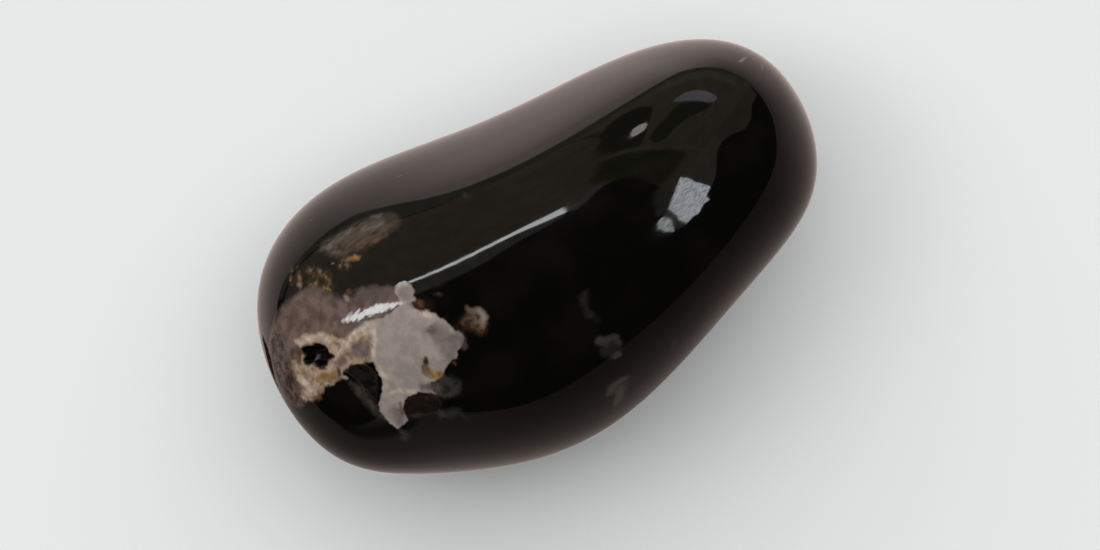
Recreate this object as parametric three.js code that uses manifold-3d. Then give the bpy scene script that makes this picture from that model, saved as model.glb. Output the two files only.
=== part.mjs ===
// A tumbled and polished black onyx pebble, lying on its belly.
// Millimetres, +Z up. X runs along the pebble, from the broad end (-X) to the narrow end (+X).
// The origin is on the table, under the middle of the pebble's box.
import * as THREE from "three";
import { mergeVertices } from "three/addons/utils/BufferGeometryUtils.js";
import Module from "manifold-3d";

const wasm = await Module();
wasm.setup();

// ---- Driving dimensions ----

const LENGTH = 45;

// Seven evenly spaced stations, from the broad tip to the narrow tip. Width, crown and belly are
// the half sizes that the section would have if the ends were not rounded off. Crown and belly are
// equal at a tip, so that the skin passes smoothly over it. The crown's lean is how far it stands
// to the +Y side of the middle of the section.
const HALF_WIDTH = [19.0, 15.0, 13.6, 12.3, 11.6, 12.3, 15.6];
const SIDE_BEND = [0.8, 1.3, 0.1, -0.6, 0.1, 0.9, 1.3];
const CROWN = [11.8, 12.4, 14.9, 13.9, 12.8, 12.5, 12.0];
const CROWN_LEAN = [0, -2.4, -2.3, -1.7, -2.2, -1.6, 0];
const BELLY = [11.8, 11.0, 10.4, 10.2, 9.9, 10.0, 12.0];
const WAIST_HEIGHT = [10.1, 10.1, 10.0, 10.0, 10.0, 10.1, 10.3];

// Natural open pits. "along" and "clock" say where: millimetres from the middle of the length, and
// degrees around the pebble, with 0 at the +Y side and 90 at the crown. "turn" swings the long way
// of the pit, in degrees, from the line that runs along the pebble.
const PITS = [
  { along: -22.0, clock: 33, length: 1.6, width: 3.6, depth: 0.8, turn: -20 },
  { along: -18.8, clock: 80, length: 2.5, width: 2.0, depth: 1.0, turn: 12 },
  { along: -16.4, clock: 98, length: 2.0, width: 2.8, depth: 0.3, turn: 24 },
];

// Facets around the pebble and from tip to tip, and the same for a pit.
const AROUND = 64;
const ALONG = 48;
const PIT_AROUND = 20;
const PIT_ALONG = 12;

// How much larger than the pebble the block is that trims the resting face.
const TRIM_MARGIN = 10;

// ---- Shape of the pebble ----

// The smooth curve through evenly spaced values, read at t from -1 to 1 (Lagrange's formula).
function throughStations(values, t) {
  const place = (i) => -1 + (2 * i) / (values.length - 1);
  let sum = 0;
  values.forEach((value, i) => {
    let weight = 1;
    values.forEach((_, j) => {
      if (j !== i) weight *= (t - place(j)) / (place(i) - place(j));
    });
    sum += weight * value;
  });
  return sum;
}

// Moves a point of the unit sphere, poles on X, to the pebble's skin. The half height swells from
// the belly's to the crown's, and the lean grows from nothing, as the point climbs around the
// section, so the skin has no edge.
function skinPoint(x, y, z) {
  const ringRadius = Math.hypot(y, z);
  const rise = ringRadius > 0 ? (1 + z / ringRadius) / 2 : 0;
  const belly = throughStations(BELLY, x);
  const halfHeight = belly + (throughStations(CROWN, x) - belly) * rise;
  const lean = throughStations(CROWN_LEAN, x) * rise;
  return new THREE.Vector3(
    (x * LENGTH) / 2,
    throughStations(SIDE_BEND, x) + throughStations(HALF_WIDTH, x) * y + lean * z,
    throughStations(WAIST_HEIGHT, x) + halfHeight * z,
  );
}

// The skin point at a distance along the pebble and an angle around it.
function skinAt(along, clockDegrees) {
  const x = THREE.MathUtils.clamp((2 * along) / LENGTH, -1, 1);
  const ringRadius = Math.sqrt(1 - x * x);
  const clock = THREE.MathUtils.degToRad(clockDegrees);
  return skinPoint(x, ringRadius * Math.cos(clock), ringRadius * Math.sin(clock));
}

// A unit sphere with its poles on X and its shared vertices merged.
function unitBall(around, along) {
  const ball = new THREE.SphereGeometry(1, around, along).rotateZ(Math.PI / 2);
  ball.deleteAttribute("normal");
  ball.deleteAttribute("uv");
  return mergeVertices(ball);
}

function pebbleGeometry() {
  const geometry = unitBall(AROUND, ALONG);
  const position = geometry.getAttribute("position");
  for (let i = 0; i < position.count; i += 1) {
    const point = skinPoint(position.getX(i), position.getY(i), position.getZ(i));
    position.setXYZ(i, point.x, point.y, point.z);
  }
  return geometry;
}

// ---- Pits and resting face ----

// A frame on the skin: first axis along the pebble, second around it, third straight out.
function skinFrame(along, clock) {
  const stepAlong = 0.05;
  const stepClock = 0.5;
  const lengthwise = skinAt(along + stepAlong, clock).sub(skinAt(along - stepAlong, clock));
  const around = skinAt(along, clock + stepClock).sub(skinAt(along, clock - stepClock));
  const outward = new THREE.Vector3().crossVectors(lengthwise, around).normalize();
  lengthwise.normalize();
  const across = new THREE.Vector3().crossVectors(outward, lengthwise);
  return new THREE.Matrix4().makeBasis(lengthwise, across, outward);
}

// An ellipsoid with its middle on the skin, which scoops out one pit.
function pitGeometry({ along, clock, length, width, depth, turn }) {
  const pit = unitBall(PIT_AROUND, PIT_ALONG);
  pit.scale(length / 2, width / 2, depth);
  pit.rotateZ(THREE.MathUtils.degToRad(turn));
  pit.applyMatrix4(skinFrame(along, clock));
  const middle = skinAt(along, clock);
  return pit.translate(middle.x, middle.y, middle.z);
}

// A block that fills the space under the table.
function underTable() {
  const side = LENGTH + TRIM_MARGIN;
  const block = new THREE.BoxGeometry(side, side, TRIM_MARGIN);
  block.deleteAttribute("normal");
  block.deleteAttribute("uv");
  return mergeVertices(block.translate(0, 0, -TRIM_MARGIN / 2));
}

function toSolid(geometry) {
  return new wasm.Manifold(
    new wasm.Mesh({
      numProp: 3,
      vertProperties: new Float32Array(geometry.getAttribute("position").array),
      triVerts: new Uint32Array(geometry.getIndex().array),
    }),
  );
}

function toGeometry(solid) {
  const mesh = solid.getMesh();
  const geometry = new THREE.BufferGeometry();
  geometry.setAttribute("position", new THREE.BufferAttribute(mesh.vertProperties, 3));
  geometry.setIndex(new THREE.BufferAttribute(mesh.triVerts, 1));
  return geometry;
}

// Moves the geometry so that the origin is under the middle of its box, on the table.
function centreOverOrigin(geometry) {
  geometry.computeBoundingBox();
  const middle = geometry.boundingBox.getCenter(new THREE.Vector3());
  return geometry.translate(-middle.x, -middle.y, -geometry.boundingBox.min.z);
}

function onyxStone() {
  let solid = toSolid(pebbleGeometry());
  for (const pit of PITS) {
    solid = solid.subtract(toSolid(pitGeometry(pit)));
  }
  solid = solid.subtract(toSolid(underTable()));
  const geometry = centreOverOrigin(toGeometry(solid));
  geometry.computeVertexNormals();
  const polishedBlack = new THREE.MeshStandardMaterial({
    color: 0x17130f,
    roughness: 0.06,
    metalness: 0,
  });
  const stone = new THREE.Mesh(geometry, polishedBlack);
  stone.name = "onyx_stone";
  return stone;
}

const group = new THREE.Group();
group.add(onyxStone());

export default group;
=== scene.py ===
# %% [markdown]
# # A polished onyx pebble
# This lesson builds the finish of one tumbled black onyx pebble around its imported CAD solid.
# The CAD solid already says how long, wide and high the stone is and where it lies. The lesson
# starts by loading it as a fixed frame, and every size below is measured from that frame.

import math

import bpy
import numpy as np
from mathutils import Matrix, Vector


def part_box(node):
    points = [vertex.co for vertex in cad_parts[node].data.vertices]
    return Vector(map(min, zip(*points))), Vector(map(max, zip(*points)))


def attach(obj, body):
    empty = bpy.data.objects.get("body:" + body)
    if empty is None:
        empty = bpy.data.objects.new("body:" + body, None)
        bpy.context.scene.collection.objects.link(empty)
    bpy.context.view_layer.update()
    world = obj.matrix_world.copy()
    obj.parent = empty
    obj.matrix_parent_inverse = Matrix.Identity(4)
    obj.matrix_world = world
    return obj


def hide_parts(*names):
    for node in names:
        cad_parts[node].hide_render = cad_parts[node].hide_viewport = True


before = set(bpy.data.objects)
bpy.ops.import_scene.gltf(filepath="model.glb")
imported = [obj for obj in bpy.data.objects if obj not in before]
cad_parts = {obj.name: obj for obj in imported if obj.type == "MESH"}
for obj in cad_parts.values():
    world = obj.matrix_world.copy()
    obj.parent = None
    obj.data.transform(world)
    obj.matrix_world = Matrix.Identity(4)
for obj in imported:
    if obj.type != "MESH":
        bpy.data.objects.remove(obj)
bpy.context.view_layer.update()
NODE = "onyx_stone"
MM = 0.001
box_low, box_high = (np.array(corner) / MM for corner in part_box(NODE))
print("the stone's box in mm:", box_low.round(2), box_high.round(2))

# %% [markdown]
# ## The shape of the pebble
# A tumbled pebble has no edges: hours of rolling in grit have worn it to one closed, swelling
# skin. It could be sculpted, or subdivided from a box, but then a mark on it would have no
# address. Here the skin is a function of two numbers instead: how far along the stone, and what
# o'clock around it. Each section is an ellipse whose upper half swells and leans, and smooth
# curves through seven stations say how wide, high and bent the sections are.

# %% Curves along the pebble
HALF_LENGTH = 22.5
HALF_WIDTH = [19.0, 15.0, 13.6, 12.3, 11.6, 12.3, 15.6]
SIDE_BEND = [0.8, 1.3, 0.1, -0.6, 0.1, 0.9, 1.3]
CROWN = [11.8, 12.4, 14.9, 13.9, 12.8, 12.5, 12.0]
CROWN_LEAN = [0, -2.4, -2.3, -1.7, -2.2, -1.6, 0]
BELLY = [11.8, 11.0, 10.4, 10.2, 9.9, 10.0, 12.0]
WAIST_HEIGHT = [10.1, 10.1, 10.0, 10.0, 10.0, 10.1, 10.3]


def through_stations(values, t):
    """The smooth curve through evenly spaced values, read at t from -1 to 1: each value times a
    product that is 1 at its own station and 0 at every other one (Lagrange's formula)."""
    places = np.linspace(-1, 1, len(values))
    total = 0
    for i, value in enumerate(values):
        others = np.delete(places, i)
        weight = 1
        for place in others:
            weight = weight * (t - place) / (places[i] - place)
        total = total + value * weight
    return total


def skin(t, clock):
    """The skin point, in mm. A unit sphere with its poles on X gives (t, across, up), where
    across and up are a ring's radius times the cosine and sine of the clock. Then
    x = half length * t, y = bend + half width * across + lean * rise * up, and
    z = waist + half height * up. Rise goes from 0 under the belly to 1 on the crown, and the
    half height goes with it from the belly's to the crown's."""
    ring = np.sqrt(np.clip(1 - t * t, 0, None))
    across = ring * np.cos(clock)
    up = ring * np.sin(clock)
    rise = (1 + np.sin(clock)) / 2
    belly = through_stations(BELLY, t)
    half_height = belly + (through_stations(CROWN, t) - belly) * rise
    lean = through_stations(CROWN_LEAN, t) * rise
    x = HALF_LENGTH * t + 0 * clock
    y = through_stations(SIDE_BEND, t) + through_stations(HALF_WIDTH, t) * across + lean * up
    z = through_stations(WAIST_HEIGHT, t) + half_height * up
    return np.stack([x, y, z], axis=-1)


# %% [markdown]
# ## A grid that is finer where there is more to see
# Nearly all the marks and pits sit on the crown of the broad end. A grid with even steps would
# spend most of its points on plain black stone, so the steps are squeezed together around the
# marks. The whole piece stays under 200,000 triangles.

# %% Grid lines
RINGS = 296
COLUMNS = 328
FINE_STEPS = 4000


def crowded(start, end, count, middle, reach, crowding):
    """Count values from start to end that stand closer near the middle. Their density is
    1 + crowding * exp(-(distance from the middle / reach)^4); the running sum of the density,
    turned inside out, gives the values."""
    fine = np.linspace(start, end, FINE_STEPS)
    density = 1 + crowding * np.exp(-(((fine - middle) / reach) ** 4))
    running = np.cumsum(density) - density[0]
    return np.interp(np.linspace(0, running[-1], count), running, fine)


tilts = np.radians(crowded(0, 180, RINGS + 2, middle=42, reach=36, crowding=2.6))[1:-1, None]
clocks = np.radians(crowded(-120, 240, COLUMNS + 1, middle=80, reach=64, crowding=2.2))[None, :-1]
grid = skin(-np.cos(tilts), clocks)
steps = np.linalg.norm(np.diff(grid, axis=0), axis=-1)
print("steps between rings, finest and coarsest, in mm:", steps.min().round(3), steps.max().round(3))

# %% Skin points, their clocks and the way out
TURN = 1e-4


def way_out(tilt, clock):
    """The direction straight out of the skin: the cross product of a tiny step around the
    pebble and a tiny step along it, at length 1."""
    around = skin(-np.cos(tilt), clock + TURN) - skin(-np.cos(tilt), clock - TURN)
    lengthwise = skin(-np.cos(tilt + TURN), clock) - skin(-np.cos(tilt - TURN), clock)
    out = np.cross(around, lengthwise)
    return out / np.linalg.norm(out, axis=-1, keepdims=True)


broad_tip = skin(np.array([-1.0]), np.array([0.0]))
narrow_tip = skin(np.array([1.0]), np.array([0.0]))
points = np.concatenate([broad_tip, grid.reshape(-1, 3), narrow_tip])
outward = np.concatenate([[[-1, 0, 0]], way_out(tilts, clocks).reshape(-1, 3), [[1, 0, 0]]])
crown_clock = 90.0
point_clock = np.degrees(np.broadcast_to(clocks, grid.shape[:2])).ravel()
point_clock = np.concatenate([[crown_clock], point_clock, [crown_clock]])
print("skin points:", len(points))

# %% [markdown]
# ## Drawing on the stone
# A mark on a pebble is easiest to place by its address on the skin: millimetres along from the
# middle, and degrees around, with 0 at the +Y side and 90 at the crown. A stroke is a soft brush
# line through a few addresses, and an outline is a closed line through its corners. Both give
# every skin point one number, its distance from the mark's edge, positive inside. The material
# later turns that number into a crisp, crinkled edge, finer than the grid itself.


# %% Strokes, outlines and random relief
def on_skin(along, clock):
    """The skin point at an address of mm along and degrees around."""
    return skin(np.array(along / HALF_LENGTH), np.array(math.radians(clock)))


def gap_to_line(start, end):
    """Distance from every skin point to the straight piece from start to end, and the share of
    the way along it where the nearest place is."""
    line = end - start
    share = np.clip((points - start) @ line / max(line @ line, 1e-9), 0, 1)
    return np.linalg.norm(points - start - share[:, None] * line, axis=1), share


def stroke(*stations):
    """Distance inside a brush line. Each station is (along, clock, half width), and between two
    stations the half width changes evenly: inside = half width - distance to the line."""
    inside = np.full(len(points), -np.inf)
    following = stations[1:] or stations
    for (along, clock, half), (next_along, next_clock, next_half) in zip(stations, following):
        gap, share = gap_to_line(on_skin(along, clock), on_skin(next_along, next_clock))
        inside = np.maximum(inside, half + (next_half - half) * share - gap)
    return inside


def outline(*corners):
    """Distance inside a closed line through (along, clock) corners: the gap to its nearest piece,
    positive where a run along the stone crosses the line an odd number of times."""
    nearest = np.full(len(points), np.inf)
    within = np.zeros(len(points), bool)
    for (along, clock), (next_along, next_clock) in zip(corners, corners[1:] + corners[:1]):
        gap, _ = gap_to_line(on_skin(along, clock), on_skin(next_along, next_clock))
        nearest = np.minimum(nearest, gap)
        rise = (next_clock - clock) or 1e-9
        crossing = along + (point_clock - clock) / rise * (next_along - along)
        within ^= ((clock > point_clock) != (next_clock > point_clock)) & (points[:, 0] < crossing)
    return np.where(within, nearest, -nearest)


def either(*marks):
    """One mark out of several: inside any of them."""
    return np.maximum.reduce(marks)


def strokes(*lines):
    """One mark out of several brush lines, each a list of its stations."""
    return either(*(stroke(*line) for line in lines))


def relief(size, seed, waves=32):
    """Gentle random relief with a spread of about 1: the sum of sine waves of a length near size,
    in mm, each in its own random direction and from its own random start."""
    rng = np.random.default_rng(seed)
    direction = rng.normal(size=(3, waves))
    direction /= np.linalg.norm(direction, axis=0)
    length = size * rng.uniform(0.6, 1.6, waves)
    start = rng.uniform(0, 2 * math.pi, waves)
    return np.sin(points @ (direction * 2 * math.pi / length) + start).sum(axis=1) * math.sqrt(2 / waves)


# %% [markdown]
# ## Open pits
# Onyx grows in layers inside a cavity, and where the layers never met a small hollow stays open.
# Tumbling polishes the skin around such a pit but can't reach into it. There are three here: a
# slit in the broad tip, a ragged hole in the cream ground beside it, and a shallow hollow shaped
# like a bean. Bump alone would leave the outline whole, so the skin itself is pressed in.

# %% The pits
ragged = 0.07 * relief(0.7, seed=3) + 0.04 * relief(0.28, seed=4)
slit = stroke(
    (-21.45, 31, 0.1), (-21.6, 36.5, 0.3), (-21.75, 41, 0.42), (-21.92, 44, 0.48), (-22.08, 46.5, 0.42),
    (-22.2, 48.5, 0.3), (-22.3, 53, 0.16), (-22.34, 61, 0.1), (-22.36, 74, 0.05),
)
hole = outline(
    (-19.4, 74.6), (-19.05, 74.2), (-18.75, 75.6), (-18.5, 76), (-18.25, 75.9), (-18, 77.6),
    (-17.75, 78.6), (-17.7, 80.8), (-17.8, 82.5), (-17.65, 84.8), (-18.1, 85.2), (-18.4, 87),
    (-18.95, 87.6), (-19.15, 85.9), (-19.2, 83.8), (-19.45, 83.6), (-19.65, 81.6), (-19.7, 79.4),
    (-19.45, 77.2),
)
bean = outline(
    (-17.35, 92.2), (-16.9, 90.9), (-16.3, 91), (-15.85, 92.2), (-15.6, 94.5), (-15.5, 97.5),
    (-15.65, 100.5), (-15.9, 103.4), (-16.25, 106), (-16.5, 108.6), (-16.65, 105.5), (-16.8, 101),
    (-17, 97), (-17.2, 94.5),
)
slit, hole, bean = slit + 0.4 * ragged, hole + 0.5 * ragged, bean + 0.4 * ragged
septum = stroke((-18.9, 78.6, 0.08), (-19.15, 82.4, 0.12))


def pressed(inside, depth, wall):
    """Depth below the skin: 0 at the edge, falling in a smooth S to the full depth at one wall's
    width inside it, so s * s * (3 - 2 s) with s the share of the wall passed."""
    share = np.clip(inside / wall, 0, 1)
    return depth * share * share * (3 - 2 * share)


SEPTUM_RISE = 0.55
septum_share = np.clip(septum / 0.12, 0, 1)
slit_depth = pressed(slit, depth=0.6, wall=0.3)
hole_depth = pressed(hole, depth=0.85, wall=0.38) * (1 - SEPTUM_RISE * septum_share)
bean_depth = pressed(bean, depth=0.16, wall=0.6)
depth = either(slit_depth, hole_depth, bean_depth) * (1 + 0.12 * relief(0.35, seed=5))
print("deepest pit in mm:", depth.max().round(2))

# %% [markdown]
# ## Marks in the stone
# Black onyx is chalcedony, and this piece kept scraps of the pale rock it grew on. The largest is
# a grey-white patch with a crinkled edge and a tail. A mauve veil lies just under the polish
# beside it, a cream and tan ground runs from there to the tip, and specks of gold, ochre and rust
# sit in and around it. Each mark below is one layer of the finish.

# %% The pale patch and the veil
marks = {}
marks["patch"] = outline(
    (-11.25, 70), (-10.8, 69), (-10.35, 69.2), (-10.1, 71), (-10.2, 74), (-10.75, 76.5), (-10.75, 79),
    (-10.4, 81.2), (-9.95, 82.2), (-9.6, 83.4), (-9.65, 85), (-9.25, 86), (-9.15, 88.6), (-9.1, 91),
    (-8.75, 92.5), (-8.65, 94.2), (-9, 96), (-9.45, 97.2), (-9.7, 97.5), (-9.7, 98.6), (-9.95, 99.7),
    (-10.3, 99.5), (-10.5, 100.6), (-11.05, 102.1), (-11.25, 103.4), (-11.6, 104.5), (-12.05, 105.4),
    (-12.45, 105.4), (-12.6, 107.6), (-12.5, 110.5), (-13.05, 109.2), (-13.5, 108.1), (-14.1, 108.7),
    (-14.65, 110.3), (-15.1, 114), (-15.25, 117), (-15.2, 120.2), (-15.6, 122), (-16.2, 124.7),
    (-16.45, 121.5), (-16.6, 118), (-16.7, 113.8), (-16.45, 110), (-16, 106.3), (-15.5, 102),
    (-15.35, 98.6), (-15.4, 94.4), (-15.35, 91), (-14.8, 86.7), (-14.5, 81.7), (-14.95, 78.6),
    (-14.3, 76.7), (-13.25, 77.3), (-12.35, 77.3), (-11.55, 75.8), (-11.4, 73.4), (-11.5, 71.3),
)
marks["veil"] = outline(
    (-19, 49.6), (-18.35, 50), (-17.6, 52), (-16.9, 52.5), (-16.1, 53.7), (-15.7, 58), (-15.35, 61.6),
    (-15, 65), (-14.3, 66.8), (-13.7, 65), (-13, 65.5), (-12.1, 67.3), (-11.2, 70), (-11.3, 76),
    (-13.7, 81.3), (-15.5, 84), (-17.4, 92.6), (-18.7, 94.3), (-20.4, 99.5), (-21.4, 94.5), (-21.6, 86),
    (-21.7, 78), (-21.75, 68.4), (-21.6, 60), (-21.4, 54), (-20.9, 50), (-20.1, 49.4),
)
marks["veil_shade"] = strokes(
    [(-13.85, 66.8, 0.4), (-12.65, 68.5, 0.5), (-11.7, 70.7, 0.35)],
    [(-17, 53.6, 0.25), (-16.1, 57, 0.3), (-15.5, 62.5, 0.25)],
    [(-19.6, 46, 0.1), (-20, 50, 0.3), (-21, 52, 0.2)],
)
print("patch, mm across inside:", marks["patch"].max().round(2))

# %% Worn side of the broad tip
marks["worn"] = outline(
    (-20.8, 49), (-20.1, 51), (-20.2, 59), (-20.4, 68), (-20.75, 76), (-21, 84), (-21.2, 92),
    (-21.1, 102.6), (-21.6, 107.5), (-22, 102.5), (-22.15, 87), (-22.15, 71), (-22.05, 60), (-21.9, 56),
    (-21.65, 52),
)
marks["worn_dark"] = strokes(
    [(-21.05, 79, 0.14), (-21.15, 82.5, 0.32), (-21.45, 85.5, 0.2)],
    [(-20.9, 80.6, 0.1), (-21.2, 82, 0.26), (-21.7, 83.7, 0.16), (-21.9, 87.8, 0.16),
     (-21.85, 94.4, 0.18)],
    [(-22.24, 50.5, 0.08), (-22.28, 62.8, 0.12), (-22.26, 83.4, 0.16), (-22.15, 98.3, 0.14)],
    [(-21.1, 52.6, 0.1), (-21.2, 57, 0.14), (-21.5, 56.4, 0.08)],
    [(-19.55, 45.6, 0.06), (-19.8, 49, 0.16), (-20.2, 50.4, 0.1)],
    [(-20.95, 50.5, 0.06), (-21, 55.4, 0.1)],
)
marks["worn_olive"] = stroke((-20.9, 85.7, 0.12), (-21, 89.7, 0.2), (-21.15, 94.2, 0.16))

# %% Cream ground and cream edges
marks["ground"] = outline(
    (-19.65, 68), (-19.25, 68), (-18.75, 69), (-18.2, 70.8), (-17.5, 72.5), (-17, 76), (-16.65, 79),
    (-16.2, 80), (-15.6, 79), (-14.8, 77), (-13.95, 77), (-14.2, 82.3), (-14.8, 86.7), (-15.3, 92),
    (-16.15, 91.4), (-16.8, 90.2), (-17.5, 92.2), (-18, 95.3), (-18.75, 96.5), (-19.35, 96.8),
    (-19.8, 100), (-20.4, 102), (-21.1, 102.6), (-21.2, 97), (-20.8, 92), (-20.75, 84.3), (-20.75, 77.5),
    (-20.4, 76.4), (-19.9, 78.4), (-19.4, 75), (-19.5, 71.5),
)
marks["cream"] = strokes(
    [(-17.65, 85.4, 0.12), (-16.65, 83, 0.22), (-15.7, 80.2, 0.3), (-14.8, 78.8, 0.38),
     (-14.1, 79.2, 0.3)],
    [(-19.45, 70.3, 0.14), (-18.85, 71.8, 0.16), (-18, 73.6, 0.2), (-17.25, 77.6, 0.24)],
    [(-20.6, 86.7, 0.15), (-20.35, 93.2, 0.26), (-20.4, 97.7, 0.2)],
    [(-14.1, 78.5, 0.2), (-14.25, 83.6, 0.2), (-14.9, 88.4, 0.18), (-15.2, 93.8, 0.14),
     (-15.15, 99.9, 0.16), (-15.55, 105, 0.16)],
    [(-10.75, 80, 0.06), (-10.35, 81.9, 0.2), (-10, 84.1, 0.12)],
    [(-15.65, 106.2, 0.1), (-14.8, 105.8, 0.16), (-14, 107.4, 0.1), (-13.5, 107.2, 0.06)],
)
marks["shaded"] = either(
    outline((-16, 82.6), (-15.3, 82.2), (-14.65, 82.3), (-14.9, 86), (-15.4, 89.6), (-16.1, 89.2),
            (-16.6, 87.3)),
    stroke((-10.9, 87.2, 0.1), (-10.5, 88.1, 0.24), (-10.1, 90, 0.1)),
    stroke((-17.75, 88.2, 0.2), (-17.1, 88.1, 0.25)),
)
marks["dimmed"] = strokes(
    [(-10.1, 90, 0.8), (-10, 96, 0.9), (-10.4, 100, 0.5)],
    [(-15.6, 116, 0.5), (-15.9, 121, 0.3)],
    [(-10.5, 70, 0.5), (-10.8, 73, 0.7)],
)
marks["faded"] = strokes(
    [(-13.1, 106.8, 0.24), (-12.65, 107.5, 0.36), (-12.2, 108.2, 0.3)],
    [(-9.3, 92.9, 0.3), (-9, 94.2, 0.4), (-9.05, 96, 0.25)],
)

# %% The knob, white specks and painted glints
marks["knob"] = strokes(
    [(-7.45, 85.2, 0.02), (-7.4, 87.2, 0.16), (-7.05, 88.3, 0.26)],
    [(-7.35, 89.9, 0.16), (-7.45, 91.6, 0.16)],
)
marks["knob_pale"] = strokes(
    [(-6.8, 88.6, 0.14), (-6.8, 91.2, 0.26), (-7.1, 93.2, 0.16)],
    [(-14.7, 64.9, 0.06), (-14.65, 65.9, 0.18)],
    [(-17.2, 48.4, 0.06), (-17.1, 50, 0.08)],
)
# Two of these white strokes, the one by the cream band and the one by the rust, are painted highlights:
# bright glints beside the mirrored strip light, painted into the colour. The others are real white specks.
marks["white"] = strokes(
    [(-17.75, 94.7, 0.16), (-17.55, 95.6, 0.12)],
    [(-14.75, 77.9, 0.06), (-14.4, 77.7, 0.08)],
    [(-10.8, 76, 0.06), (-10.45, 75.9, 0.1)],
    [(-8.57, 45.6, 0.02)],
    [(-14.35, 50.5, 0.02), (-14.15, 50.8, 0.01)],
    [(-17.55, 43.4, 0.01)],
)
# Painted highlight: the pale top of the ridge inside the hole stands in for a glint on it.
marks["septum"] = stroke((-19, 80.8, 0.05), (-19.1, 82.2, 0.08))

# %% Streaked patch and grey haze
marks["streaked"] = outline(
    (-14.8, 41.1), (-14.1, 40.3), (-13.3, 40.4), (-12.5, 40.7), (-11.6, 41), (-10.8, 41.6),
    (-10.05, 41.6), (-9.4, 42.6), (-8.9, 44.2), (-8.5, 46.7), (-8.5, 49.1), (-9.05, 50.3), (-9.65, 51),
    (-10.3, 51.8), (-11.15, 52), (-11.9, 52.1), (-12.65, 51.1), (-13.35, 50.7), (-13.85, 48.8),
    (-14.2, 44.9),
)
marks["streak_pale"] = strokes(
    [(-14.35, 42, 0.06), (-13.65, 44, 0.18), (-12.65, 42.6, 0.22), (-11.8, 43, 0.12)],
    [(-11.1, 44.5, 0.1), (-10.4, 45.8, 0.26), (-9.65, 46.6, 0.22)],
    [(-10.05, 42, 0.04), (-9.55, 43, 0.1)],
    [(-14, 45.7, 0.04), (-13.5, 48.1, 0.1)],
)
marks["streak_red"] = stroke(
    (-12.85, 48.1, 0.1), (-12.2, 47.8, 0.26), (-11.65, 50, 0.3), (-10.9, 50.5, 0.26), (-9.9, 51.1, 0.14),
)
marks["streak_brown"] = stroke((-8.85, 44.8, 0.3), (-9, 49.6, 0.36))
marks["haze"] = stroke(
    (-17.45, 98.6, 0.2), (-17.2, 103.2, 0.38), (-17.05, 109.2, 0.42), (-16.8, 114.8, 0.36),
    (-16.6, 118, 0.14),
)
marks["faint_haze"] = either(
    outline((-12.5, 104.7), (-11.6, 104.4), (-10.8, 105), (-10.6, 108), (-10.7, 111), (-11.3, 113),
            (-12.1, 113.6), (-12.6, 111.7), (-12.8, 109)),
    stroke((-12.75, 119.9, 0.34), (-12.35, 120.6, 0.42), (-11.85, 119.8, 0.34)),
    stroke((-12.85, 118.2, 0.06), (-13.2, 122.5, 0.08)),
    stroke((-11.7, 121.6, 0.1), (-11.45, 124.7, 0.06)),
    stroke((-16.1, 126, 0.2), (-16, 128.4, 0.34), (-16.2, 131, 0.24)),
    stroke((-14.75, 118.5, 0.1), (-14.3, 118.5, 0.14)),
    stroke((-3.4, 50, 0.06), (-3.3, 51.6, 0.06)),
    stroke((-9, 77.2, 0.04), (-8.6, 78.4, 0.08)),
)
marks["haze_rim"] = stroke(
    (-12.6, 110, 0.1), (-12.05, 112, 0.14), (-11.55, 112.4, 0.1), (-11.1, 111, 0.02),
)

# %% Gold, ochre, rust and burnt halos
marks["gold"] = strokes(
    [(-12.2, 98.8, 0.08), (-12.25, 101.2, 0.18), (-12.15, 103, 0.3), (-11.75, 103.3, 0.32),
     (-11.4, 103.3, 0.18)],
    [(-19.4, 91.3, 0.08), (-18.95, 92.1, 0.34), (-18.35, 92.5, 0.22)],
    [(-13.1, 52.4, 0.1), (-12.65, 52.9, 0.2), (-12.4, 54.1, 0.1)],
    [(-16.75, 43.4, 0.02), (-16.85, 45.4, 0.14), (-17, 47, 0.06)],
    [(-15.6, 58, 0.04), (-15.35, 59.6, 0.06)],
)
marks["ochre"] = strokes(
    [(-7.9, 90.4, 0.46), (-7.55, 91, 0.7), (-7.4, 92.8, 0.56)],
    [(-12.1, 97.6, 0.2), (-12.25, 99.4, 0.32), (-12.3, 101.5, 0.28)],
    [(-13.2, 111.3, 0.02), (-12.85, 111.9, 0.1), (-12.55, 112.8, 0.04)],
)
marks["crumbs"] = strokes(
    [(-16.6, 41.4, 0.2), (-16.9, 45.4, 0.26), (-17.1, 49, 0.24)],
    [(-16.3, 44.9, 0.2), (-15.75, 48.9, 0.4), (-15.2, 53.4, 0.4), (-15.15, 58, 0.34)],
    [(-16.4, 50.8, 0.3), (-16, 54.9, 0.36), (-15.65, 58.6, 0.3)],
    [(-13.7, 50.5, 0.14), (-13.35, 52.2, 0.18)],
    [(-13.9, 52.6, 0.12), (-13.45, 54.7, 0.14)],
    [(-17.1, 39.9, 0.12), (-17.55, 44.4, 0.16)],
    [(-20.3, 101.5, 0.2), (-19.9, 101.5, 0.14)],
)
marks["rust"] = strokes(
    [(-10.6, 77.6, 0.26), (-10.25, 78.6, 0.34)],
    [(-21.1, 77.6, 0.1), (-21.05, 80, 0.14)],
    [(-14.35, 63.7, 0.08), (-14.2, 64.9, 0.12)],
    [(-15.1, 111.5, 0.1), (-15.3, 116, 0.12)],
    [(-20, 78.4, 0.1), (-19.6, 76, 0.08)],
    [(-18.9, 87.2, 0.12), (-18.55, 88.2, 0.08)],
    [(-17.8, 91.5, 0.1), (-17.9, 93.4, 0.1)],
    [(-10.4, 100.4, 0.02), (-10.25, 101.6, 0.04)],
    [(-21.4, 35, 0.04), (-21.5, 46, 0.08), (-21.75, 56, 0.06)],
)
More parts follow.
